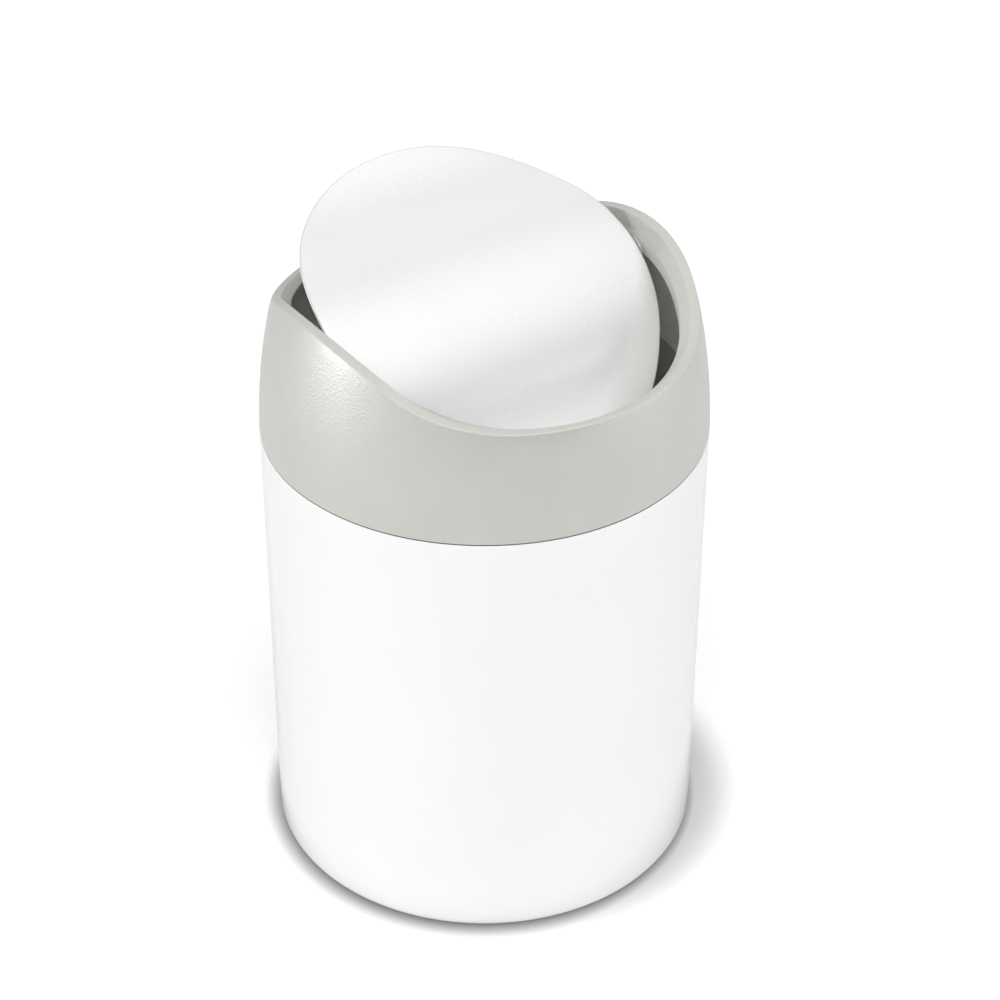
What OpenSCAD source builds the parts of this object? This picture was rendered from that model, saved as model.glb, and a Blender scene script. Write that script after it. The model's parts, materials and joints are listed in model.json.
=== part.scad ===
// Countertop trash can with a swing lid.
// Origin at the bottom centre, +Z up. The lid swings about a line along X, and -Y is the front.

/* [Body] */
// Outer diameter of the steel body
body_d = 120; // [90:1:180]
// Height of the body's top edge above the table
body_h = 129.4; // [90:0.1:260]
// Thickness of the steel sheet
steel_t = 0.6; // [0.4:0.1:1.2]
// Height of the folded hem inside the body's top edge
hem_h = 7; // [4:0.5:12]
// Gap between the wall and its folded hem
hem_gap = 0.2; // [0.1:0.05:0.5]
// Height of the body's lower edge above the table
foot_h = 0.6; // [0.3:0.1:3]
// Outside radius of the body's rounded lower edge
bottom_r = 2; // [1:0.1:4]
// Width of the flange turned in at the body's lower edge
flange_w = 4; // [2:0.5:8]
// Height of the flange turned down round the bottom plate
plate_flange = 2.4; // [1:0.1:5]
// Width of the non-skid ring
ring_w = 5; // [4:0.5:10]

/* [Collar] */
// Height of the shadow line between the body and the collar
seam_h = 0.3; // [0.1:0.05:1]
// Depth of the shadow line
seam_d = 0.8; // [0.3:0.05:1]
// How far under the body's top edge the collar's curve starts
barrel_below = 2.4; // [0:0.1:10]
// Radius of the collar's inward curve, seen from the side
barrel_r = 163; // [140:1:400]
// Thickness of the collar's wall
collar_t = 2.7; // [2:0.1:4]
// Height of the rim's two high points above the body's top edge
ear_rise = 44.4; // [40:0.1:60]
// How far the rim drops from the high points to the front and back
rim_drop = 14.6; // [8:0.1:18]
// Radius of the rim's convex arc at the high points
rim_top_r = 59.5; // [50:0.5:80]
// Radius of the rim's hollow arc at the front and back
rim_low_r = 67.5; // [50:0.5:90]
// Gap between the lid's edge and the opening, at the pivots
side_gap = 1.2; // [0.8:0.1:3]
// Gap between the lid's edge and the opening, at the front and back
end_gap = 2.6; // [2:0.1:6]
// Depth of the lip round the opening
lip_h = 3.2; // [2:0.1:5]

/* [Lid] */
// How far the lid's sides stand inside the body's outer face, at the pivots
lid_side_in = 12.6; // [12:0.1:16]
// How far the lid's ends stand inside the body's outer face, at the front and back
lid_end_in = 8.8; // [8:0.1:14]
// Roundness of the lid's outline, where 2 is an ellipse
lid_round = 2.08; // [2:0.01:2.4]
// Thickness of the painted lid sheet
lid_t = 1.2; // [0.8:0.1:2]
// Height of the lid's crown above the pivot line
crown_h = 3.9; // [3.5:0.1:8]
// Radius of the lid's convex middle and of its hollow ends
lid_arc_r = 75.5; // [60:0.5:120]
// Drop from the crown to the flat of the hollow ends
lid_drop = 8.4; // [4:0.1:12]
// How far the lid stands open, front edge down
lid_tilt = 32; // [0:1:60]
// Depth of the pivot line below the rim's high points
pivot_below = 8.8; // [7:0.1:14]

/* [Lid carrier] */
// Thickness of the carrier's skin
skin_t = 1.4; // [1:0.1:3]
// Gap between the lid sheet and the carrier
skin_gap = 0.2; // [0.1:0.05:0.5]
// How far the carrier stays back from the lid's edge
skin_inset = 3; // [2:0.1:8]
// Thickness of the carrier's ribs
rib_t = 1.4; // [1:0.1:3]
// Depth of the carrier's edge rib below its skin
edge_rib_h = 2.4; // [1:0.1:5]
// Depth of the carrier's cross ribs below its skin
cross_rib_h = 3.6; // [1:0.1:6]
// Distance of each cross rib from the middle
cross_rib_y = 25; // [10:1:35]
// Thickness of each pivot hub along the pivot line
hub_t = 5; // [3:0.1:8]
// Radius of each pivot hub
hub_r = 4.4; // [3.5:0.1:6]
// Distance from the pivot line to the stop peg
peg_drop = 13; // [11:0.1:16]
// Radius of the stop peg
peg_r = 2; // [1.5:0.1:3]
// Largest swing each way from closed, in degrees
swing_max = 65; // [40:1:75]

/* [Pivots] */
// Diameter of the steel pivot pins
pin_d = 3; // [2:0.1:4]
// Length of each pivot pin
pin_l = 10.4; // [9:0.1:14]
// Running clearance between a pin and its bush, on the radius
pin_fit = 0.05; // [0.02:0.01:0.1]
// Clearance of a pressed or seated round, on the radius
seat_fit = 0.02; // [0.01:0.01:0.05]
// Wall thickness of the nylon bushes
bush_t = 0.8; // [0.5:0.1:1.5]
// Length of each bush inside its boss
bush_l = 3.2; // [2:0.1:4]
// Thickness of the bush's flange
bush_flange_t = 0.6; // [0.4:0.1:1]
// Gap between a hub and the bush's flange
hub_gap = 0.25; // [0.1:0.05:0.6]
// Wall round a bush in the collar's boss
boss_t = 1.3; // [1:0.1:2]
// Thickness of the rubber stop pads
pad_t = 1.2; // [0.8:0.1:2]
// Gap between peg and pad at the end of the swing
stop_gap = 0.3; // [0.1:0.05:1]

/* [Mouth ring] */
// Depth of the skirt that plugs into the body
skirt_h = 12; // [8:0.5:25]
// Gap between the skirt and the body's hem
skirt_gap = 0.7; // [0.4:0.1:2]
// Thickness of the mouth ring's wall
mouth_t = 1.8; // [1.2:0.1:3]
// Height of the mouth ring above the body's top edge
mouth_h = 9.4; // [6:0.1:14]
// Gap between the mouth ring and the collar's wall
mouth_gap = 0.5; // [0.2:0.1:1.5]
// Height of the soft grip ring
grip_h = 3; // [2:0.1:5]
// Gap between the grip ring and the body's hem
grip_gap = 0.3; // [0.2:0.05:0.6]
// Depth of the grip ring's groove
grip_seat = 0.8; // [0.4:0.1:1.2]

/* [Counterweight and fasteners] */
// Length of the steel counterweight bar
weight_l = 60; // [40:1:70]
// Width of the counterweight bar
weight_w = 9; // [5:0.5:14]
// Height of the counterweight bar
weight_h = 6; // [3:0.5:8]
// Depth of the bar's top face below the pivot line
weight_drop = 7; // [6:0.1:10]
// Distance of each counterweight screw from the middle
weight_screw_x = 20; // [10:1:28]
// Diameter of the screws and studs
screw_d = 3; // [2:0.1:4]
// Diameter of the screw heads
head_d = 5.6; // [4:0.1:7]
// Height of the screw heads
head_h = 2; // [1:0.1:3]
// Clearance round a screw, on the radius
screw_fit = 0.2; // [0.1:0.05:0.4]
// Distance of the lid studs from the middle, along X
stud_x = 26; // [15:1:32]
// Angle of the lid studs round the lid's convex arc
stud_angle = 13; // [5:0.5:16]
// Across flats of the lid nuts
nut_w = 5.5; // [4:0.1:7]
// Thickness of the lid nuts
nut_h = 2.4; // [1.5:0.1:3]
// How far the collar screws stand inside the body's outer face
collar_screw_in = 8.5; // [7.5:0.1:12]
// Length of the collar screws under their heads
collar_screw_l = 9; // [6:0.5:14]

/* [Hidden] */
$fn = 96;
far = 400;
cut = 1;
body_r = body_d / 2;
ring_lip_cut = 1;

// Hem, collar and rim
hem_r = body_r - 2 * steel_t - hem_gap;
ear_z = body_h + ear_rise;
barrel_z = body_h - barrel_below;
barrel_steps = 14;

// Lid, in its own closed frame with the pivot line at its origin
lid_w = body_d - 2 * lid_side_in;
lid_l = body_d - 2 * lid_end_in;
pivot_z = ear_z - pivot_below;
lid_arc_z = crown_h - lid_arc_r;
carrier_top = lid_t + skin_gap;
carrier_low = carrier_top + skin_t;
seat_pad_h = 1;
seat_pad_r = nut_w / 2 + 1;
stud_proud = 1;
stud_curve_gap = 0.03;
spine_drop = 3;
weight_boss_t = 2;

// Radius of the barrel-shaped collar at a height
function barrel_at(z) = body_r - barrel_r + sqrt(pow(barrel_r, 2) - pow(max(z - barrel_z, 0), 2));

// Opening, hubs and pivots
hub_inset = 0.2;
bush_flange_w = 0.8;
seat_gap = 0.2;
pin_short = 0.4;
pin_hole_gap = 0.4;
open_rx = lid_w / 2 + side_gap;
open_ry = lid_l / 2 + end_gap;
hub_x = lid_w / 2 - hub_inset;
boss_x = hub_x + hub_gap + bush_flange_t;
bush_r = pin_d / 2 + pin_fit + bush_t;
bush_flange_r = bush_r + bush_flange_w;
boss_r = bush_r + seat_fit + boss_t;
pin_end_x = boss_x + bush_l - pin_short;

// Stops: a peg on each hub, and a rib with a pad on the collar, just beside the hub
peg_reach = 2.4;
peg_tail_t = 1;
stop_rib_gap = 0.5;
stop_rib_t = 2.2;
pad_below = 4.2;
pad_h = 7.5;
pad_inset = 0.2;
pad_wall_gap = 0.3;
peg_end_x = hub_x + peg_reach;
peg_end_z = pivot_z - peg_drop * cos(swing_max);
stop_y = peg_drop * sin(swing_max) + peg_r + stop_gap;
stop_x = hub_x + stop_rib_gap;
pad_low = peg_end_z - pad_below;
stop_low = pad_low - pad_inset;
pad_x = stop_x + pad_inset;
pad_end_r = barrel_at(pad_low + pad_h) - collar_t - pad_wall_gap;
pad_w = sqrt(pow(pad_end_r, 2) - pow(stop_y + pad_t, 2)) - pad_x;

// Mouth ring and its screws
mouth_top = body_h + mouth_h;
skirt_r = hem_r - skirt_gap;
neck_r = barrel_at(mouth_top) - collar_t - mouth_gap;
step_t = 1.6;
step_below = 0.4;
grip_low = 5;
grip_edge = 0.5;
grip_z = body_h - skirt_h + grip_low;
screw_angles = [45, 135, 225, 315];
collar_screw_r = body_r - collar_screw_in;
lug_t = 2;
lug_r = 4;
screw_boss_h = 10;
screw_boss_r = 3;
screw_tip_gap = 0.6;
weight_bar_z = -weight_drop - weight_h;
weight_screw_bite = 4.5;
weight_screw_l = weight_h + weight_screw_bite;

// A flat outline in Y and Z, drawn out along X
module along_x(w)
    rotate([90, 0, 90])
        linear_extrude(w, center = true)
            children();

// Everything above a wave line: a convex arc in the middle that runs smoothly into a hollow arc at each end
module above_wave(top_z, top_r, low_r, drop, depth = 0) {
    angle = acos(1 - drop / (top_r + low_r));
    end_y = (top_r + low_r) * sin(angle);
    turn_z = top_z - top_r + (top_r - depth) * cos(angle);
    difference() {
        translate([-far / 2, turn_z])
            square([far, far / 2]);
        translate([0, top_z - top_r])
            circle(top_r - depth);
    }
    for (side = [-1, 1]) {
        translate([side * end_y, top_z - drop + low_r])
            circle(low_r + depth);
        translate([side > 0 ? end_y : -far / 2, top_z - drop - depth])
            square([far / 2 - end_y, far / 4]);
    }
}

module above_rim()
    above_wave(ear_z, rim_top_r, rim_low_r, rim_drop);

// The sheet between two depths below the lid's top face
module lid_layer(top, low)
    difference() {
        above_wave(crown_h, lid_arc_r, lid_arc_r, lid_drop, low);
        above_wave(crown_h, lid_arc_r, lid_arc_r, lid_drop, top);
    }

// A rounded oval outline of the lid's kind
function oval_at(rx, ry, n, a) = [
    rx * sign(cos(a)) * pow(abs(cos(a)), 2 / n),
    ry * sign(sin(a)) * pow(abs(sin(a)), 2 / n)];
module oval(rx, ry, n)
    polygon([for (i = [0:95]) oval_at(rx, ry, n, i * 360 / 96)]);

// Puts a lid piece, drawn closed about the pivot line, where the open lid holds it
module on_lid()
    translate([0, 0, pivot_z])
        rotate([lid_tilt, 0, 0])
            children();

// Stands a piece square to the lid's convex arc
module on_arc(angle)
    translate([0, 0, lid_arc_z])
        rotate([angle, 0, 0])
            children();

// The space inside the barrel-shaped wall, as a stack of narrow cones
module barrel(inset, z0, z1)
    rotate_extrude($fn = 180)
        polygon(concat(
            [[0, z0]],
            [for (i = [0:barrel_steps]) let (z = z0 + (z1 - z0) * i / barrel_steps) [barrel_at(z) - inset, z]],
            [[0, z1]]));

module body_shell() {
    corner_z = foot_h + bottom_r;
    color("white")
        rotate_extrude($fn = 180) {
            translate([body_r - steel_t, corner_z])
                square([steel_t, body_h - corner_z]);
            translate([hem_r, body_h - steel_t])
                square([body_r - hem_r, steel_t]);
            translate([hem_r, body_h - hem_h])
                square([steel_t, hem_h]);
            translate([body_r - bottom_r, corner_z])
                intersection() {
                    difference() {
                        circle(bottom_r, $fn = 48);
                        circle(bottom_r - steel_t, $fn = 48);
                    }
                    translate([0, -bottom_r])
                        square([bottom_r, bottom_r]);
                }
            translate([body_r - bottom_r - flange_w, foot_h])
                square([flange_w, steel_t]);
        }
}

module bottom_plate() {
    plate_r = body_r - steel_t;
    corner_z = foot_h + bottom_r;
    color("gainsboro")
        rotate_extrude($fn = 180) {
            translate([0, corner_z + plate_flange - steel_t])
                square([plate_r, steel_t]);
            translate([plate_r - steel_t, corner_z])
                square([steel_t, plate_flange]);
        }
}

module base_ring() {
    edge_r = body_r - bottom_r - flange_w;
    color("dimgray")
        rotate_extrude($fn = 180) {
            translate([edge_r - ring_w / 2, 0])
                square([ring_w, foot_h]);
            translate([edge_r - ring_w / 2, 0])
                square([ring_w / 2, foot_h + 2 * steel_t]);
            translate([edge_r - ring_w / 2, foot_h + steel_t])
                square([ring_w - ring_lip_cut, steel_t]);
        }
}

module collar() {
    color("#d1cfc7")
        difference() {
            union() {
                difference() {
                    barrel(0, body_h, ear_z);
                    barrel(collar_t, body_h, ear_z);
                }
                intersection() {
                    barrel(collar_t / 2, body_h, ear_z);
                    union() {
                        collar_lip();
                        collar_bosses();
                        for (a = screw_angles)
                            rotate(a)
                                translate([collar_screw_r, 0, mouth_top])
                                    cylinder(h = screw_boss_h, r = screw_boss_r, $fn = 48);
                        for (a = screw_angles)
                            rotate(a)
                                translate([collar_screw_r, -rib_t / 2, mouth_top])
                                    cube([body_r - collar_screw_r, rib_t, screw_boss_h]);
                    }
                }
            }
            along_x(far / 2)
                above_rim();
            for (side = [-1, 1])
                translate([side * boss_x, 0, pivot_z])
                    rotate([0, side * 90, 0])
                        translate([0, 0, -cut])
                            cylinder(h = bush_l + seat_gap + cut, r = bush_r + seat_fit, $fn = 48);
            for (a = screw_angles)
                rotate(a)
                    translate([collar_screw_r, 0, mouth_top - lug_t])
                        cylinder(h = collar_screw_l + screw_tip_gap, d = screw_d + 2 * seat_fit, $fn = 36);
            translate([0, 0, body_h - cut])
                difference() {
                    cylinder(h = seam_h + cut, r = body_r + cut, $fn = 180);
                    cylinder(h = seam_h + cut, r = body_r - seam_d, $fn = 180);
                }
        }
}

// Lip round the opening, which follows the closed lid
module collar_lip()
    difference() {
        translate([0, 0, pivot_z])
            along_x(body_d)
                lid_layer(0, lip_h);
        translate([0, 0, body_h])
            linear_extrude(ear_rise + cut)
                oval(open_rx, open_ry, 2);
    }

// Pivot bosses, and the rib behind the right one and before the left one that each carry a stop pad
module collar_bosses()
    for (side = [-1, 1]) {
        translate([side * boss_x, 0, pivot_z])
            rotate([0, side * 90, 0])
                cylinder(h = body_r - boss_x, r = boss_r, $fn = 48);
        translate([side > 0 ? stop_x : -body_r, side > 0 ? stop_y + pad_t : -stop_y - pad_t - stop_rib_t, stop_low])
            cube([body_r - stop_x, stop_rib_t, pivot_z - stop_low]);
    }

module mouth_ring() {
    step_z = body_h - step_below - step_t;
    color("#b9b7af")
        difference() {
            union() {
                rotate_extrude($fn = 180) {
                    translate([skirt_r - mouth_t, body_h - skirt_h])
                        square([mouth_t, skirt_h - step_below]);
                    translate([neck_r - mouth_t, step_z])
                        square([mouth_t, mouth_top - step_z]);
                    translate([neck_r - mouth_t, step_z])
                        square([skirt_r - neck_r + mouth_t, step_t]);
                }
                for (a = screw_angles)
                    rotate(a)
                        translate([collar_screw_r, 0, mouth_top - lug_t]) {
                            cylinder(h = lug_t, r = lug_r, $fn = 48);
                            translate([0, -lug_r, 0])
                                cube([neck_r - mouth_t / 2 - collar_screw_r, 2 * lug_r, lug_t]);
                        }
            }
            translate([0, 0, grip_z])
                difference() {
                    cylinder(h = grip_h, r = skirt_r + cut, $fn = 180);
                    cylinder(h = grip_h, r = skirt_r - grip_seat, $fn = 180);
                }
            for (a = screw_angles)
                rotate(a)
                    translate([collar_screw_r, 0, mouth_top - lug_t - cut])
                        cylinder(h = lug_t + 2 * cut, r = screw_d / 2 + screw_fit, $fn = 36);
        }
}

module grip_ring() {
    outer = hem_r - grip_gap;
    inner = skirt_r - grip_seat;
    color("gray")
        translate([0, 0, grip_z])
            rotate_extrude($fn = 180) {
                translate([inner, 0])
                    square([outer - inner - grip_edge, grip_h]);
                translate([inner, grip_edge])
                    square([outer - inner, grip_h - 2 * grip_edge]);
            }
}

// Pan-head screw pointing up, its head's top face at the origin
module screw(l) {
    cylinder(h = l, d = screw_d, $fn = 36);
    translate([0, 0, -head_h])
        cylinder(h = head_h, d = head_d, $fn = 36);
}

module collar_screws()
    color("silver")
        for (a = screw_angles)
            rotate(a)
                translate([collar_screw_r, 0, mouth_top - lug_t])
                    screw(collar_screw_l);

// Flanged nylon bush in the collar's boss, on the side given
module bush(side)
    color("ivory")
        translate([side * (boss_x - bush_flange_t), 0, pivot_z])
            rotate([0, side * 90, 0])
                difference() {
                    union() {
                        cylinder(h = bush_flange_t + bush_l, r = bush_r, $fn = 48);
                        cylinder(h = bush_flange_t, r = bush_flange_r, $fn = 48);
                    }
                    translate([0, 0, -cut])
                        cylinder(h = bush_flange_t + bush_l + 2 * cut, r = pin_d / 2 + pin_fit, $fn = 48);
                }

module bush_left()
    bush(-1);

module bush_right()
    bush(1);

module stop_pads()
    color("dimgray")
        for (side = [-1, 1])
            translate([side > 0 ? pad_x : -pad_x - pad_w, side > 0 ? stop_y : -stop_y - pad_t, pad_low])
                cube([pad_w, pad_t, pad_h]);

module lid_panel()
    color("white")
        on_lid()
            intersection() {
                along_x(lid_w + 2 * cut)
                    lid_layer(0, lid_t);
                translate([0, 0, -far / 8])
                    linear_extrude(far / 4)
                        oval(lid_w / 2, lid_l / 2, lid_round);
            }

// A solid between two depths under the lid, inside an oval that stands back from the lid's edge
module under_lid(top, low, inset)
    intersection() {
        along_x(lid_w)
            lid_layer(top, low);
        translate([0, 0, -far / 8])
            linear_extrude(far / 4)
                oval(lid_w / 2 - inset, lid_l / 2 - inset, lid_round);
    }

// Pivot hub with its tail, cut off under the lid sheet
module hub(side) {
    inner_x = hub_x - hub_t;
    intersection() {
        translate([side * (hub_x - hub_t / 2), 0, 0])
            along_x(hub_t) {
                circle(hub_r, $fn = 48);
                translate([-hub_r, 0])
                    square([2 * hub_r, crown_h]);
                translate([-peg_r - peg_tail_t, -peg_drop])
                    square([2 * (peg_r + peg_tail_t), peg_drop]);
                translate([0, -peg_drop])
                    circle(peg_r + peg_tail_t, $fn = 48);
            }
        along_x(lid_w)
            translate([0, lid_arc_z])
                circle(lid_arc_r - carrier_top);
    }
    translate([side * inner_x, 0, -peg_drop])
        rotate([0, side * 90, 0])
            cylinder(h = peg_end_x - inner_x, r = peg_r, $fn = 36);
}

module lid_carrier() {
    spine_w = hub_x - hub_t / 2;
    color("#c4c3bd")
        on_lid()
            difference() {
                union() {
                    under_lid(carrier_top, carrier_low, skin_inset);
                    difference() {
                        under_lid(carrier_top, carrier_low + edge_rib_h, skin_inset);
                        translate([0, 0, -far / 8])
                            linear_extrude(far / 4)
                                oval(lid_w / 2 - skin_inset - rib_t, lid_l / 2 - skin_inset - rib_t, lid_round);
                    }
                    intersection() {
                        under_lid(carrier_top, carrier_low + cross_rib_h, skin_inset);
                        for (end = [-1, 1])
                            translate([-lid_w / 2, end * cross_rib_y - rib_t / 2, -far / 8])
                                cube([lid_w, rib_t, far / 4]);
                    }
                    for (side = [-1, 1])
                        hub(side);
                    intersection() {
                        along_x(2 * spine_w)
                            translate([0, lid_arc_z])
                                circle(lid_arc_r - carrier_top);
                        union() {
                            translate([-spine_w, -rib_t, -spine_drop])
                                cube([2 * spine_w, 2 * rib_t, crown_h + spine_drop]);
                            for (side = [-1, 1])
                                translate([side * weight_screw_x, 0, -weight_drop])
                                    cylinder(h = weight_drop + crown_h, r = screw_d / 2 + weight_boss_t, $fn = 36);
                        }
                    }
                    for (side = [-1, 1], end = [-1, 1])
                        translate([side * stud_x, 0, 0])
                            on_arc(end * stud_angle)
                                translate([0, 0, lid_arc_r - carrier_low - seat_pad_h])
                                    cylinder(h = seat_pad_h + skin_t / 2, r = seat_pad_r, $fn = 36);
                }
                for (side = [-1, 1], end = [-1, 1])
                    translate([side * stud_x, 0, 0])
                        on_arc(end * stud_angle)
                            translate([0, 0, lid_arc_r - carrier_low - seat_pad_h - cut])
                                cylinder(h = carrier_low + seat_pad_h + cut, r = screw_d / 2 + screw_fit, $fn = 36);
                for (side = [-1, 1]) {
                    translate([side * pin_end_x, 0, 0])
                        rotate([0, -side * 90, 0])
                            cylinder(h = pin_l + pin_hole_gap, r = pin_d / 2 + seat_fit, $fn = 48);
                    translate([side * weight_screw_x, 0, -weight_drop - cut])
                        cylinder(h = weight_screw_bite + screw_tip_gap + cut, d = screw_d + 2 * seat_fit, $fn = 36);
                }
            }
}

module lid_studs()
    color("silver")
        on_lid()
            for (side = [-1, 1], end = [-1, 1])
                translate([side * stud_x, 0, 0])
                    on_arc(end * stud_angle)
                        translate([0, 0, lid_arc_r - carrier_low - seat_pad_h - nut_h - stud_proud])
                            cylinder(h = stud_proud + nut_h + seat_pad_h + skin_t + skin_gap - stud_curve_gap,
                                d = screw_d, $fn = 36);

module lid_nuts()
    color("silver")
        on_lid()
            for (side = [-1, 1], end = [-1, 1])
                translate([side * stud_x, 0, 0])
                    on_arc(end * stud_angle)
                        translate([0, 0, lid_arc_r - carrier_low - seat_pad_h - nut_h])
                            difference() {
                                cylinder(h = nut_h, d = nut_w / cos(30), $fn = 6);
                                translate([0, 0, -cut])
                                    cylinder(h = nut_h + 2 * cut, r = screw_d / 2 + seat_fit, $fn = 36);
                            }

// Steel pivot pin, pressed into the hub on the side given
module pivot_pin(side)
    color("silver")
        on_lid()
            translate([side * pin_end_x, 0, 0])
                rotate([0, -side * 90, 0])
                    cylinder(h = pin_l, d = pin_d, $fn = 48);

module pivot_pin_left()
    pivot_pin(-1);

module pivot_pin_right()
    pivot_pin(1);

module counterweight()
    color("darkgray")
        on_lid()
            difference() {
                translate([-weight_l / 2, -weight_w / 2, weight_bar_z])
                    cube([weight_l, weight_w, weight_h]);
                for (side = [-1, 1])
                    translate([side * weight_screw_x, 0, weight_bar_z - cut])
                        cylinder(h = weight_h + 2 * cut, r = screw_d / 2 + screw_fit, $fn = 36);
            }

module weight_screws()
    color("silver")
        on_lid()
            for (side = [-1, 1])
                translate([side * weight_screw_x, 0, weight_bar_z])
                    screw(weight_screw_l);

body_shell();
bottom_plate();
base_ring();
collar();
mouth_ring();
grip_ring();
collar_screws();
bush_left();
bush_right();
stop_pads();
lid_panel();
lid_carrier();
lid_studs();
lid_nuts();
pivot_pin_left();
pivot_pin_right();
counterweight();
weight_screws();
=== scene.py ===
import json
import math

import bpy
from mathutils import Matrix, Vector


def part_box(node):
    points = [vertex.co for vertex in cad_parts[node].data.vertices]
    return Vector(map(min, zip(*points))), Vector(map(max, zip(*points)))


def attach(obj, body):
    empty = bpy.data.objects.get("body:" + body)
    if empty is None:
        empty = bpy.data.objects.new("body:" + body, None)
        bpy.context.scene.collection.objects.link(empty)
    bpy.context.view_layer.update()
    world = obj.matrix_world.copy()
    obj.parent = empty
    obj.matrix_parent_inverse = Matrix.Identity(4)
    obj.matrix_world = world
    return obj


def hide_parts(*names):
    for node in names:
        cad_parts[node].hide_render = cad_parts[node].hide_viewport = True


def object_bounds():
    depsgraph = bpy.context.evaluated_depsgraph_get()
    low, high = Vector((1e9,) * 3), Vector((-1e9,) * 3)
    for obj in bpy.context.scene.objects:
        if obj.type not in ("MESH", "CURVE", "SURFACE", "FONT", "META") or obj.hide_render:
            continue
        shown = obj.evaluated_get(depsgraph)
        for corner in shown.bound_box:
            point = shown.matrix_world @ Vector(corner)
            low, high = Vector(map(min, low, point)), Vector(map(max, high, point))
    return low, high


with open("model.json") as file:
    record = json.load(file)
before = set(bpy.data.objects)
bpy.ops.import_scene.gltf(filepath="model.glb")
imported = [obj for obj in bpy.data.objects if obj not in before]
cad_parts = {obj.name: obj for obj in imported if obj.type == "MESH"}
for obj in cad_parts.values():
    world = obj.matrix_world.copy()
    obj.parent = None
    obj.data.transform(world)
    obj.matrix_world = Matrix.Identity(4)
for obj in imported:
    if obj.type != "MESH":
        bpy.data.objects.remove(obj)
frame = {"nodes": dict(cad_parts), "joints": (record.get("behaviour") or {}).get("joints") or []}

cad_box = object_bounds()
nodes = frame["nodes"]
body_low, body_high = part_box("body_shell")
collar_low, collar_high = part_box("collar")
pivot = Vector(next(joint["pos_m"] for joint in frame["joints"] if joint["name"] == "lid_swing"))

# Camera. It looks down on the can from its front left, from about an arm's length away, through a
# long lens. The can stands a little left of the picture's middle.
camera_turn = math.radians(34.33)
camera_rise = math.radians(34.49)
camera_reach = 0.7009
aim = Vector((0, 0, 0.102))
aside = math.cos(camera_rise)
towards_camera = Vector((
    -math.sin(camera_turn) * aside, -math.cos(camera_turn) * aside, math.sin(camera_rise)))
bpy.ops.object.select_all(action="DESELECT")
bpy.ops.object.camera_add(location=aim + camera_reach * towards_camera)
camera = bpy.context.object
camera.rotation_euler = towards_camera.to_track_quat("Z", "Y").to_euler()
camera.data.lens = 92.42
camera.data.sensor_width = 36
camera.data.shift_x = 0.0155
camera.data.shift_y = 0.0005
bpy.context.scene.camera = camera

# Studio. A white floor runs on past the picture, with a painted shadow close round the can's foot and
# to its right. The light comes from soft white panels overhead, in front, behind and low at the sides.
right_of_camera = Vector((math.cos(camera_turn), -math.sin(camera_turn), 0))
ahead_of_camera = Vector((math.sin(camera_turn), math.cos(camera_turn), 0))
up = Vector((0, 0, 1))
floor_size = 12
floor_white = 0.94
floor_glow = 0.2
foot_r = body_high.x
# Where the painted shadow on the floor starts and ends, how dark it gets, and where its right-hand patch
# sits.
edge_in = 0.001
edge_out = 0.006
contact_shadow_depth = 0.62
right_fade = 0.008
right_shadow_depth = 0.4
right_shift = 0.011 * right_of_camera + 0.001 * ahead_of_camera
bpy.ops.object.select_all(action="DESELECT")
bpy.ops.mesh.primitive_plane_add(size=floor_size, location=(0, 0, cad_box[0][2]))
floor = bpy.context.object
floor.name = "studio_floor"
floor_paint = bpy.data.materials.new("studio_floor")
floor_paint.use_nodes = True
tree = floor_paint.node_tree
tree.nodes.clear()
places = tree.nodes.new("ShaderNodeTexCoord")


def painted_shadow_ring(centre, start, end, depth):
    """Painted shadow on the floor near a centre: a share of darkening that fades from one radius out to
    another.
    """
    distance = tree.nodes.new("ShaderNodeVectorMath")
    distance.operation = "DISTANCE"
    distance.inputs[1].default_value = centre
    tree.links.new(places.outputs["Object"], distance.inputs[0])
    share = tree.nodes.new("ShaderNodeMapRange")
    share.interpolation_type = "SMOOTHSTEP"
    share.inputs["From Min"].default_value = end
    share.inputs["From Max"].default_value = start
    share.inputs["To Max"].default_value = depth
    tree.links.new(distance.outputs["Value"], share.inputs["Value"])
    return share


# Painted shadow: the floor is darkened in a narrow ring round the can's foot and in a wider patch to its
# right.
painted_contact_shadow = painted_shadow_ring((0, 0, 0), foot_r - edge_in, foot_r + edge_out, contact_shadow_depth)
painted_right_shadow = painted_shadow_ring(right_shift, foot_r - right_fade, foot_r + right_fade, right_shadow_depth)
deeper = tree.nodes.new("ShaderNodeMath")
deeper.operation = "MAXIMUM"
tree.links.new(painted_contact_shadow.outputs["Result"], deeper.inputs[0])
tree.links.new(painted_right_shadow.outputs["Result"], deeper.inputs[1])
lighter = tree.nodes.new("ShaderNodeMath")
lighter.operation = "SUBTRACT"
lighter.inputs[0].default_value = 1
tree.links.new(deeper.outputs["Value"], lighter.inputs[1])
shade = tree.nodes.new("ShaderNodeCombineColor")
for channel in ("Red", "Green", "Blue"):
    tree.links.new(lighter.outputs["Value"], shade.inputs[channel])
white = tree.nodes.new("ShaderNodeMix")
white.data_type = "RGBA"
white.blend_type = "MULTIPLY"
white.inputs["Factor"].default_value = 1
white.inputs["B"].default_value = (floor_white, floor_white, floor_white, 1)
tree.links.new(shade.outputs["Color"], white.inputs["A"])
matte = tree.nodes.new("ShaderNodeBsdfDiffuse")
tree.links.new(white.outputs["Result"], matte.inputs["Color"])
glow = tree.nodes.new("ShaderNodeEmission")
tree.links.new(shade.outputs["Color"], glow.inputs["Color"])
rays = tree.nodes.new("ShaderNodeLightPath")
seen = tree.nodes.new("ShaderNodeMath")
seen.operation = "MULTIPLY"
seen.inputs[1].default_value = floor_glow
both = tree.nodes.new("ShaderNodeAddShader")
out = tree.nodes.new("ShaderNodeOutputMaterial")
tree.links.new(rays.outputs["Is Camera Ray"], seen.inputs[0])
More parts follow.
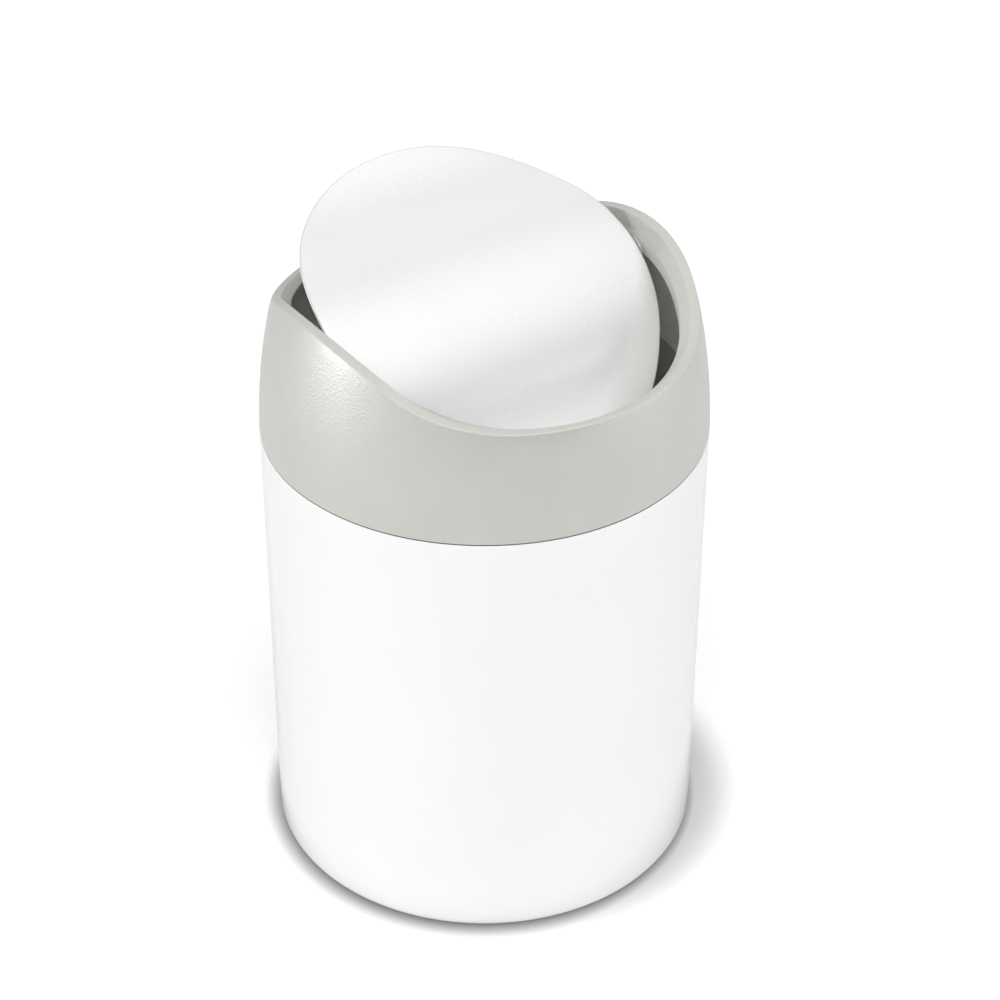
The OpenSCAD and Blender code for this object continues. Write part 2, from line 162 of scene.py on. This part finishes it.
tree.links.new(seen.outputs["Value"], glow.inputs["Strength"])
tree.links.new(matte.outputs["BSDF"], both.inputs[0])
tree.links.new(glow.outputs["Emission"], both.inputs[1])
tree.links.new(both.outputs["Shader"], out.inputs["Surface"])
floor.data.materials.append(floor_paint)

world = bpy.data.worlds.new("studio")
bpy.context.scene.world = world
world.use_nodes = True
tree = world.node_tree
tree.nodes.clear()
directions = tree.nodes.new("ShaderNodeTexCoord")
level = None


def way_to(turn, rise):
    """A direction, given as degrees to the right of the way to the camera and degrees above the floor."""
    turn, rise = math.radians(turn), math.radians(rise)
    level_way = right_of_camera * math.sin(turn) - ahead_of_camera * math.cos(turn)
    return level_way * math.cos(rise) + up * math.sin(rise)


# Each panel: degrees right of the camera, degrees up, the half widths in degrees of its evenly lit
# middle and of the whole panel with its soft edge, and its brightness.
room_panels = (
    (0, 90, 0, 60, 0.3),
    (0, 68, 0, 45, 1.0),
    (98, 61, 12, 30, 0.68),
    (0, 42, 0, 35, 2.15),
    (180, 42, 0, 35, 0.7),
    (-115, 40, 0, 32, 0.6),
    (84, 12, 0, 29, 2.35),
    (-45, 12, 0, 32, 0.75),
    (-79, 3, 0, 14, 10.8))
for turn, rise, even_width, half_width, brightness in room_panels:
    towards = tree.nodes.new("ShaderNodeVectorMath")
    towards.operation = "DOT_PRODUCT"
    towards.inputs[1].default_value = way_to(turn, rise)
    tree.links.new(directions.outputs["Generated"], towards.inputs[0])
    panel = tree.nodes.new("ShaderNodeMapRange")
    panel.interpolation_type = "SMOOTHSTEP"
    panel.inputs["From Min"].default_value = math.cos(math.radians(half_width))
    panel.inputs["From Max"].default_value = math.cos(math.radians(even_width))
    panel.inputs["To Max"].default_value = brightness
    tree.links.new(towards.outputs["Value"], panel.inputs["Value"])
    total = tree.nodes.new("ShaderNodeMath")
    total.inputs[1].default_value = 0
    tree.links.new(panel.outputs["Result"], total.inputs[0])
    if level:
        tree.links.new(level.outputs["Value"], total.inputs[1])
    level = total
room = tree.nodes.new("ShaderNodeBackground")
tree.links.new(level.outputs["Value"], room.inputs["Strength"])
backdrop = tree.nodes.new("ShaderNodeBackground")
rays = tree.nodes.new("ShaderNodeLightPath")
choice = tree.nodes.new("ShaderNodeMixShader")
out = tree.nodes.new("ShaderNodeOutputWorld")
for background in (room, backdrop):
    background.inputs["Color"].default_value = (1, 1, 1, 1)
tree.links.new(rays.outputs["Is Camera Ray"], choice.inputs["Fac"])
tree.links.new(room.outputs["Background"], choice.inputs[1])
tree.links.new(backdrop.outputs["Background"], choice.inputs[2])
tree.links.new(choice.outputs["Shader"], out.inputs["Surface"])

# Body shell. Thin steel sheet, rolled to a cylinder, its top edge folded in to a hem and its lower edge
# turned in to a flange. It is painted glossy white inside and out, so the sheet shows no bare edge.
millimetre = 0.001
weld_within = millimetre / 2000
smooth_under = math.radians(35)
turns = 360
sheet_t = 0.6 * millimetre
hem_depth = 7 * millimetre
hem_fold = 1.4 * millimetre
hem_round = 0.5 * millimetre
foot_round = 2 * millimetre
flange_reach = 6 * millimetre
corner_steps = 6


def rounded(corners):
    """A closed outline through corners, each its radius, height, rounding and steps to the next one."""
    arcs = []
    for place, (radius, height, rounding, steps) in enumerate(corners):
        here = Vector((radius, height))
        before = (Vector(corners[place - 1][:2]) - here).normalized() * rounding
        after = (Vector(corners[(place + 1) % len(corners)][:2]) - here).normalized() * rounding
        if not rounding:
            arcs.append([here])
            continue
        shares = [step / corner_steps for step in range(corner_steps + 1)]
        arcs.append([here + (1 - share) ** 2 * before + share ** 2 * after for share in shares])
    outline = []
    for place, arc in enumerate(arcs):
        start, end = arc[-1], arcs[(place + 1) % len(arcs)][0]
        steps = corners[place][3]
        outline += arc + [start.lerp(end, step / steps) for step in range(1, steps)]
    return outline


def wrapped(name, outlines, closed=True):
    """A grid wrapped round the can's axis, one outline of points to each turn."""
    rings = len(outlines[0])
    last = rings if closed else rings - 1
    bpy.ops.object.select_all(action="DESELECT")
    bpy.ops.mesh.primitive_grid_add(x_subdivisions=len(outlines), y_subdivisions=last, size=2)
    piece = bpy.context.object
    piece.name = name
    for vertex in piece.data.vertices:
        turn = round((vertex.co.x + 1) / 2 * len(outlines)) % len(outlines)
        ring = round((vertex.co.y + 1) / 2 * last) % rings
        vertex.co = outlines[turn][ring]
    bpy.ops.object.mode_set(mode="EDIT")
    bpy.ops.mesh.select_all(action="SELECT")
    bpy.ops.mesh.remove_doubles(threshold=weld_within)
    bpy.ops.mesh.normals_make_consistent(inside=False)
    bpy.ops.object.mode_set(mode="OBJECT")
    bpy.ops.object.shade_smooth_by_angle(angle=smooth_under)
    return piece


def about_axis(outline, turn):
    """An outline of (radius, height) stood at one turn about the can's axis."""
    angle = 2 * math.pi * turn / turns
    return [(radius * math.cos(angle), radius * math.sin(angle), height) for radius, height in outline]


body_r = body_high.x
wall_low = body_low.z
wall_high = body_high.z
shell_outline = rounded([
    (body_r - hem_fold, wall_high - hem_depth, 0, 2),
    (body_r - hem_fold, wall_high, hem_round, 2),
    (body_r, wall_high, hem_round, 12),
    (body_r, wall_low, foot_round, 2),
    (body_r - flange_reach, wall_low, 0, 1),
    (body_r - flange_reach, wall_low + sheet_t, 0, 2),
    (body_r - sheet_t, wall_low + sheet_t, foot_round - sheet_t, 12),
    (body_r - sheet_t, wall_high - hem_depth, 0, 1),
])
shell = wrapped("painted_shell", [about_axis(shell_outline, turn) for turn in range(turns)])


def new_effect(name, takes, gives):
    """A shader node group with named inputs, each a name, a kind and a value, and named outputs."""
    effect = bpy.data.node_groups.new(name, "ShaderNodeTree")
    for title, kind, value in takes:
        socket = effect.interface.new_socket(name=title, in_out="INPUT", socket_type="NodeSocket" + kind)
        socket.default_value = value
    for title, kind in gives:
        effect.interface.new_socket(name=title, in_out="OUTPUT", socket_type="NodeSocket" + kind)
    return effect, effect.nodes.new("NodeGroupInput"), effect.nodes.new("NodeGroupOutput")


def pattern_places(tree, stretch):
    """The piece's own coordinates, squeezed by a vector socket."""
    places = tree.nodes.new("ShaderNodeTexCoord")
    squeeze = tree.nodes.new("ShaderNodeVectorMath")
    squeeze.operation = "MULTIPLY"
    tree.links.new(places.outputs["Object"], squeeze.inputs[0])
    tree.links.new(stretch, squeeze.inputs[1])
    return squeeze.outputs["Vector"]


def uneven_finish():
    """Soft clouds in a finish: the colour goes a little darker in them, and the gloss a little duller."""
    takes = [("Colour", "Color", (1, 1, 1, 1)), ("Darkest", "Float", 0.95), ("Roughness", "Float", 0.5)]
    takes += [("Duller", "Float", 1.1), ("Scale", "Float", 40), ("Stretch", "Vector", (1, 1, 1))]
    gives = [("Colour", "Color"), ("Roughness", "Float")]
    tree, given, out = new_effect("uneven_finish", takes, gives)
    cloud = tree.nodes.new("ShaderNodeTexNoise")
    cloud.inputs["Detail"].default_value = 3
    tree.links.new(pattern_places(tree, given.outputs["Stretch"]), cloud.inputs["Vector"])
    tree.links.new(given.outputs["Scale"], cloud.inputs["Scale"])
    share = tree.nodes.new("ShaderNodeMapRange")
    share.interpolation_type = "SMOOTHSTEP"
    share.inputs["From Min"].default_value = 0.25
    share.inputs["From Max"].default_value = 0.75
    tree.links.new(cloud.outputs["Fac"], share.inputs["Value"])
    shade = tree.nodes.new("ShaderNodeMapRange")
    shade.inputs["To Min"].default_value = 1
    tree.links.new(share.outputs["Result"], shade.inputs["Value"])
    tree.links.new(given.outputs["Darkest"], shade.inputs["To Max"])
    darker = tree.nodes.new("ShaderNodeVectorMath")
    darker.operation = "SCALE"
    tree.links.new(given.outputs["Colour"], darker.inputs["Vector"])
    tree.links.new(shade.outputs["Result"], darker.inputs["Scale"])
    tree.links.new(darker.outputs["Vector"], out.inputs["Colour"])
    dull = tree.nodes.new("ShaderNodeMapRange")
    dull.inputs["To Min"].default_value = 1
    tree.links.new(share.outputs["Result"], dull.inputs["Value"])
    tree.links.new(given.outputs["Duller"], dull.inputs["To Max"])
    rough = tree.nodes.new("ShaderNodeMath")
    rough.operation = "MULTIPLY"
    tree.links.new(given.outputs["Roughness"], rough.inputs[0])
    tree.links.new(dull.outputs["Result"], rough.inputs[1])
    tree.links.new(rough.outputs["Value"], out.inputs["Roughness"])
    return tree


def fine_relief():
    """Small bumps on a surface, as a normal: so many to the metre, and so deep."""
    takes = [("Scale", "Float", 1000), ("Depth", "Float", 0.0001), ("Stretch", "Vector", (1, 1, 1))]
    tree, given, out = new_effect("fine_relief", takes, [("Normal", "Vector")])
    bumps = tree.nodes.new("ShaderNodeTexNoise")
    bumps.inputs["Detail"].default_value = 1
    tree.links.new(pattern_places(tree, given.outputs["Stretch"]), bumps.inputs["Vector"])
    tree.links.new(given.outputs["Scale"], bumps.inputs["Scale"])
    bump = tree.nodes.new("ShaderNodeBump")
    tree.links.new(given.outputs["Depth"], bump.inputs["Distance"])
    tree.links.new(bumps.outputs["Fac"], bump.inputs["Height"])
    tree.links.new(bump.outputs["Normal"], out.inputs["Normal"])
    return tree


clouds = uneven_finish()
relief = fine_relief()


def finish(name, colour, roughness, darkest, duller, cloud_scale,
           relief_scale, relief_depth, stretch=(1, 1, 1)):
    """A material that takes its colour and gloss from the clouds and its normal from the relief."""
    made = bpy.data.materials.new(name)
    made.use_nodes = True
    tree = made.node_tree
    shader = tree.nodes["Principled BSDF"]
    uneven = tree.nodes.new("ShaderNodeGroup")
    uneven.node_tree = clouds
    uneven.inputs["Colour"].default_value = (*colour, 1)
    uneven.inputs["Darkest"].default_value = darkest
    uneven.inputs["Roughness"].default_value = roughness
    uneven.inputs["Duller"].default_value = duller
    uneven.inputs["Scale"].default_value = cloud_scale
    uneven.inputs["Stretch"].default_value = stretch
    tree.links.new(uneven.outputs["Colour"], shader.inputs["Base Color"])
    tree.links.new(uneven.outputs["Roughness"], shader.inputs["Roughness"])
    bumps = tree.nodes.new("ShaderNodeGroup")
    bumps.node_tree = relief
    bumps.inputs["Scale"].default_value = relief_scale
    bumps.inputs["Depth"].default_value = relief_depth
    bumps.inputs["Stretch"].default_value = stretch
    tree.links.new(bumps.outputs["Normal"], shader.inputs["Normal"])
    return made, shader


def gloss_paint(name, colour, roughness, flake):
    """Stoved gloss paint: a hard clear surface with a faint orange peel, and pearl flake where given."""
    paint, shader = finish(
        name, colour, roughness, darkest=0.985, duller=1.15, cloud_scale=30,
        relief_scale=420, relief_depth=0.0025 * millimetre)
    shader.inputs["Metallic"].default_value = flake
    shader.inputs["Coat Weight"].default_value = 0.6
    shader.inputs["Coat Roughness"].default_value = 0.06
    return paint


def dress(piece, *finishes):
    """Gives a piece its finishes, in place of any it has."""
    piece.data.materials.clear()
    for made in finishes:
        piece.data.materials.append(made)


dress(shell, gloss_paint("body_paint", (0.94, 0.94, 0.94), 0.16, flake=0.0))
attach(shell, "can")
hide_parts("body_shell")

# Bottom plate. A pressed steel disc in the foot of the shell, in the same white paint with less gloss.
dress(nodes["bottom_plate"], gloss_paint("plate_paint", (0.82, 0.82, 0.82), 0.35, flake=0.0))

# Non-skid ring. Soft dark rubber clipped round the shell's lower flange.
def moulded(name, colour, roughness, grain_size, grain_depth, darkest=0.9, flake=0.0):
    """Moulded plastic or rubber: a fine pebbled skin over a faintly uneven colour."""
    skin, shader = finish(
        name, colour, roughness, darkest, duller=1.12, cloud_scale=60,
        relief_scale=1 / grain_size, relief_depth=grain_depth)
    shader.inputs["Metallic"].default_value = flake
    return skin


base_rubber = moulded("base_rubber", (0.05, 0.05, 0.05), 0.8, 0.6 * millimetre, 0.03 * millimetre)
dress(nodes["base_ring"], base_rubber)

# Collar. One moulding in warm grey plastic with a fine leathery grain outside and on the bevel above
# the opening. Its wall leans in like a barrel, its rim rises to the two pivots, and a smooth lip stands
# round the opening, in a darker grey that is painted shade. The inside below the lip is given a much
# lighter grey than the collar's, as painted light. The groove's back wall above the seam is dark as
# painted shade, standing in for the shadow in the thin gap between collar and body.
collar_t = 2.7 * millimetre
seam_height = 0.42 * millimetre
seam_depth = 0.12 * millimetre
barrel_start = wall_high - 2.4 * millimetre
barrel_bow = 163 * millimetre
rim_top = collar_high.z
rim_fall = 14.6 * millimetre
rim_top_bow = 59.5 * millimetre
rim_low_bow = 67.5 * millimetre
rim_width_ends = 2 * millimetre
rim_width_ears = 2.8 * millimetre
rim_fillet = 0.42 * millimetre
rim_inner_fillet = 0.3 * millimetre
crown = 3.9 * millimetre
lid_bow = 75.5 * millimetre
lid_fall = 8.4 * millimetre
opening_x = 48.5 * millimetre
opening_y = 54 * millimetre
lip_below_rim = 0.8 * millimetre
lip_depth = 3.3 * millimetre
lip_round = 0.3 * millimetre
under_lip_slope = 0.4
wall_steps = 8


def wave(across, top, top_bow, low_bow, fall, depth=0.0):
    """Height of a wave that is domed in the middle and runs smoothly into a hollow at each end."""
    reach = (top_bow + low_bow) * math.sin(math.acos(1 - fall / (top_bow + low_bow)))
    turn_at = reach * (top_bow - depth) / (top_bow + low_bow)
    distance = abs(across)
    if distance < turn_at:
        return top - top_bow + math.sqrt((top_bow - depth) ** 2 - distance ** 2)
    if distance < reach:
        return top - fall + low_bow - math.sqrt((low_bow + depth) ** 2 - (reach - distance) ** 2)
    return top - fall - depth


def rim_at(across):
    return wave(across, rim_top, rim_top_bow, rim_low_bow, rim_fall)


def closed_lid_at(across, depth=0.0):
    return wave(across, pivot.z + crown, lid_bow, lid_bow, lid_fall, depth)


def barrel_at(height):
    return body_r - barrel_bow + math.sqrt(barrel_bow ** 2 - max(height - barrel_start, 0) ** 2)


def collar_outline(turn):
    """The collar's cut face at one turn, from its lower inner edge round to its shadow line."""
    angle = 2 * math.pi * turn / turns
    to_side, to_front = abs(math.cos(angle)), abs(math.sin(angle))
    rim_r = barrel_at(rim_at(barrel_at(rim_top) * to_front))
    rim_z = rim_at(rim_r * to_front)
    rim_width = rim_width_ends + (rim_width_ears - rim_width_ends) * to_side ** 2
    inner_r = rim_r - rim_width
    inner_z = rim_at(inner_r * to_front)
    lip_r = 1 / math.hypot(to_side / opening_x, to_front / opening_y)
    lip_z = min(closed_lid_at(lip_r * to_front), rim_z - lip_below_rim)
    low_z = lip_z - lip_depth
    inside_r = barrel_at(low_z) - collar_t
    foot_z = wall_high
    corners = [(barrel_at(foot_z) - collar_t, foot_z, 0, wall_steps)]
    corners += [(inside_r, low_z - (inside_r - lip_r) * under_lip_slope, 0, 2)]
    corners += [(lip_r, low_z, lip_round / 2, 3)]
    corners += [(lip_r, lip_z, lip_round, 5)]
    corners += [(inner_r, inner_z, rim_inner_fillet, 2)]
    corners += [(rim_r, rim_z, rim_fillet, 1)]
    wall_top, wall_foot = rim_z - rim_fillet, foot_z + seam_height
    for step in range(1, wall_steps * 2):
        height = wall_top + (wall_foot - wall_top) * step / (wall_steps * 2)
        corners += [(barrel_at(height), height, 0, 1)]
    corners += [(body_r, wall_foot, 0, 1), (body_r - seam_depth, wall_foot, 0, 1)]
    corners += [(body_r - seam_depth, foot_z, 0, 2)]
    return rounded(corners)


collar = wrapped("grained_collar", [about_axis(collar_outline(turn), turn) for turn in range(turns)])
collar_grey = (0.645, 0.635, 0.6)
# Painted light: the inside grey is much lighter than the collar's plastic, standing in for light the
# shaded inside lacks.
painted_light_inside_grey = (0.95, 0.94, 0.88)
even = 0.97
collar_skin = moulded(
    "collar_plastic", collar_grey, 0.36, 0.47 * millimetre, 0.1 * millimetre, even, flake=0.55)
bevel_skin = moulded("bevel_plastic", collar_grey, 0.5, 0.5 * millimetre, 0.13 * millimetre, even)
# Painted shade: the lip's smooth plastic is real, but its darker grey stands in for the shade under the
# rim.
painted_shade_lip_skin = moulded("lip_plastic", (0.58, 0.57, 0.54), 0.45, 0.8 * millimetre, 0.01 * millimetre, even)
painted_light_inner_skin = moulded("inner_plastic", painted_light_inside_grey, 0.5, 0.8 * millimetre, 0.01 * millimetre)
# Painted shade: a dark finish on the groove's back wall, for the shadow in the seam's thin gap.
painted_seam_shade = moulded("seam_shadow", (0.12, 0.12, 0.11), 0.8, 0.8 * millimetre, 0.01 * millimetre)
collar_skins = (collar_skin, painted_light_inner_skin, painted_seam_shade, bevel_skin, painted_shade_lip_skin)
dress(collar, *collar_skins)
bevel_upward = 0.4
groove_top = wall_high + seam_height - lip_round / 10
groove_back = body_r - seam_depth - lip_round / 2
for face in collar.data.polygons:
    centre = face.center
    across = math.hypot(centre.x, centre.y)
    facing = face.normal.dot(Vector((centre.x, centre.y, 0)) / across)
    beyond_lip = math.hypot(centre.x / opening_x, centre.y / opening_y) > 1 + lip_round / opening_x
    under_lip = centre.z < closed_lid_at(centre.y) - lip_depth
    # Faces under the lip take the lighter inner plastic, which is painted light.
    if facing < 0 and beyond_lip and under_lip:
        face.material_index = collar_skins.index(painted_light_inner_skin)
    elif face.normal.z > bevel_upward:
        face.material_index = collar_skins.index(bevel_skin)
    # Faces of the lip take its darker grey, which is painted shade.
    elif facing < 0 and not beyond_lip:
        face.material_index = collar_skins.index(painted_shade_lip_skin)
    # Faces in the seam's groove take the dark finish, which is painted shade.
    if centre.z < groove_top and across > groove_back:
        face.material_index = collar_skins.index(painted_seam_shade)
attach(collar, "collar_set")
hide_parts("collar")


# Bosses inside the collar, part of the same moulding: one round each pivot, a rib behind the right
# pivot and one before the left for the stop pads, and four round the screws that hold the mouth ring,
# each with a rib behind.
boss_round = 0.3 * millimetre
bevel_over = math.radians(40)
bevel_facets = 3
post_sides = 48
bush_low, bush_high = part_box("bush_right")
bush_flange_t = 0.6 * millimetre
pivot_boss_x = bush_low.x + bush_flange_t
pivot_boss_r = (bush_high.z - bush_low.z) / 2 + 0.5 * millimetre
pad_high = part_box("stop_pads")[1]
pad_low_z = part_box("stop_pads")[0].z
stop_rib_x = 47.7 * millimetre
stop_rib_t = 2.2 * millimetre
screw_head_r = 2.8 * millimetre
screw_boss_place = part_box("collar_screws")[1].x - screw_head_r
screw_boss_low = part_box("mouth_ring")[1].z
screw_boss_h = 10 * millimetre
screw_boss_r = 3 * millimetre
screw_rib_t = 1.4 * millimetre


def soften(piece, bevel):
    """Rounds a piece's sharp edges with narrow facets."""
    rounding = piece.modifiers.new("rounded_edges", "BEVEL")
    rounding.width = bevel
    rounding.segments = bevel_facets
    rounding.limit_method = "ANGLE"
    rounding.angle_limit = bevel_over
    bpy.context.view_layer.objects.active = piece
    bpy.ops.object.modifier_apply(modifier=rounding.name)
    bpy.ops.object.shade_smooth_by_angle(angle=smooth_under)


def block(low, high, bevel, turn=0.0):
    """A box between two corners with rounded edges, then turned about the can's axis."""
    bpy.ops.object.select_all(action="DESELECT")
    low, high = Vector(low), Vector(high)
    bpy.ops.mesh.primitive_cube_add(size=1)
    piece = bpy.context.object
    piece.data.transform(Matrix.Translation((low + high) / 2) @ Matrix.Diagonal((*(high - low), 1)))
    soften(piece, bevel)
    piece.data.transform(Matrix.Rotation(turn, 4, "Z"))
    return piece


def post(foot, axis, length, radius, bevel):
    """A round post with rounded edges that stands on its foot and points along an axis."""
    bpy.ops.object.select_all(action="DESELECT")
    bpy.ops.mesh.primitive_cylinder_add(vertices=post_sides, radius=radius, depth=length)
    piece = bpy.context.object
    soften(piece, bevel)
    turn = Vector(axis).to_track_quat("Z", "Y").to_matrix().to_4x4()
    piece.data.transform(Matrix.Translation(foot) @ turn @ Matrix.Translation((0, 0, length / 2)))
    return piece


def joined(name, pieces):
    """Makes one mesh of several pieces."""
    bpy.ops.object.select_all(action="DESELECT")
    for piece in pieces:
        piece.select_set(True)
    bpy.context.view_layer.objects.active = pieces[0]
    bpy.ops.object.join()
    pieces[0].name = name
    return pieces[0]


bosses = []
wall_middle = barrel_at(pivot.z) - collar_t / 2
for side in (-1, 1):
    pivot_foot = (side * pivot_boss_x, 0, pivot.z)
    bosses.append(post(pivot_foot, (side, 0, 0), wall_middle - pivot_boss_x, pivot_boss_r, boss_round))
    near = side * pad_high.y
    far = side * (pad_high.y + stop_rib_t)
    rib_end = math.sqrt(wall_middle ** 2 - far ** 2)
    low = (min(side * stop_rib_x, side * rib_end), min(near, far), pad_low_z - boss_round)
    high = (max(side * stop_rib_x, side * rib_end), max(near, far), pivot.z)
    bosses.append(block(low, high, boss_round))
screw_boss_at = math.hypot(screw_boss_place, screw_boss_place)
screw_wall = barrel_at(screw_boss_low + screw_boss_h) - collar_t / 2
for quarter in range(4):
    turn = math.radians(45 + 90 * quarter)
    foot = (screw_boss_at * math.cos(turn), screw_boss_at * math.sin(turn), screw_boss_low)
    bosses.append(post(foot, (0, 0, 1), screw_boss_h, screw_boss_r, boss_round))
    rib_low = (screw_boss_at, -screw_rib_t / 2, screw_boss_low)
    rib_high = (screw_wall, screw_rib_t / 2, screw_boss_low + screw_boss_h)
    bosses.append(block(rib_low, rib_high, boss_round, turn))
bosses = joined("collar_bosses", bosses)
dress(bosses, collar_skin)
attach(bosses, "collar_set")

# Mouth ring, grip ring and stop pads. The smooth plastic ring whose skirt plugs into the body, the soft
# ring in its groove, and the pads against which the lid's pegs stop, in the same soft rubber.
# Painted shade: the mouth ring's grey is darkened to dim the light its top edge catches inside the can.
painted_shade_ring_skin = moulded("ring_plastic", (0.55, 0.54, 0.51), 0.5, 0.8 * millimetre, 0.01 * millimetre)
dress(nodes["mouth_ring"], painted_shade_ring_skin)
soft_skin = moulded("soft_grip", (0.1, 0.1, 0.1), 0.75, 0.6 * millimetre, 0.02 * millimetre)
dress(nodes["grip_ring"], soft_skin)
dress(nodes["stop_pads"], soft_skin)

# Collar screws, lid studs and nuts, and the counterweight's screws. Zinc-plated steel.
def plain_metal(name, colour, roughness):
    """Bare or plated steel with faint drawn lines."""
    metal, shader = finish(
        name, colour, roughness, darkest=0.85, duller=1.5, cloud_scale=900,
        relief_scale=1600, relief_depth=0.004 * millimetre, stretch=(0.05, 1, 1))
    shader.inputs["Metallic"].default_value = 1
    return metal


zinc = plain_metal("zinc_steel", (0.62, 0.64, 0.66), 0.32)
for name in ("collar_screws", "lid_studs", "lid_nuts", "weight_screws"):
    dress(nodes[name], zinc)
dress(nodes["counterweight"], plain_metal("weight_steel", (0.4, 0.4, 0.41), 0.45))
pin_steel = plain_metal("pin_steel", (0.68, 0.68, 0.68), 0.2)
for name in ("pivot_pin_left", "pivot_pin_right"):
    dress(nodes[name], pin_steel)

# Pivot bushes. Grey nylon, flanged against the lid's hubs.
nylon = moulded("nylon", (0.34, 0.33, 0.31), 0.5, 0.8 * millimetre, 0.005 * millimetre)
for name in ("bush_left", "bush_right"):
    dress(nodes[name], nylon)

# Lid carrier. The ribbed plastic frame under the lid, with its hubs and stop pegs.
# The carrier takes the inner plastic, whose pale grey is painted light.
dress(nodes["lid_carrier"], painted_light_inner_skin)

# Lid panel. A sheet in glossy white paint, domed along the pivot line and curled up at both ends,
# standing open with its front edge down. Its edge is rounded over and catches the light.
lid_half_x = 47.4 * millimetre
lid_half_y = 51.2 * millimetre
lid_roundness = 2.08
lid_t = 1.2 * millimetre
lid_tilt = math.radians(32)
edge_round = 0.55 * millimetre
lid_rings = 44


def lid_outline(turn):
    """The closed lid's cut face at one turn, from its crown over the edge and back under to the middle."""
    angle = 2 * math.pi * turn / turns
    power = 2 / lid_roundness
    edge = Vector((
        lid_half_x * math.copysign(abs(math.cos(angle)) ** power, math.cos(angle)),
        lid_half_y * math.copysign(abs(math.sin(angle)) ** power, math.sin(angle))))
    reach = edge.length
    upper = [(reach * ring / lid_rings, 0) for ring in range(lid_rings)]
    rim = [(0, 0, 0, 1), (reach, 0, edge_round, 1), (reach, lid_t, edge_round, 1), (0, lid_t, 0, 1)]
    rim = rounded(rim)[1:-1]
    lower = [(reach * ring / lid_rings, lid_t) for ring in reversed(range(lid_rings))]
    points = []
    for distance, depth in upper[:-1] + rim + lower[1:]:
        place = edge * (distance / reach)
        points.append((place.x, place.y, closed_lid_at(place.y, depth)))
    return points


lid = wrapped("painted_lid", [lid_outline(turn) for turn in range(turns)], closed=False)
tilted = Matrix.Rotation(lid_tilt, 4, "X")
lid.data.transform(Matrix.Translation(pivot) @ tilted @ Matrix.Translation(-pivot))
dress(lid, gloss_paint("lid_paint", (0.96, 0.96, 0.965), 0.25, flake=0.4))
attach(lid, "lid")
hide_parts("lid_panel")

bpy.context.scene.view_settings.view_transform = "Standard"
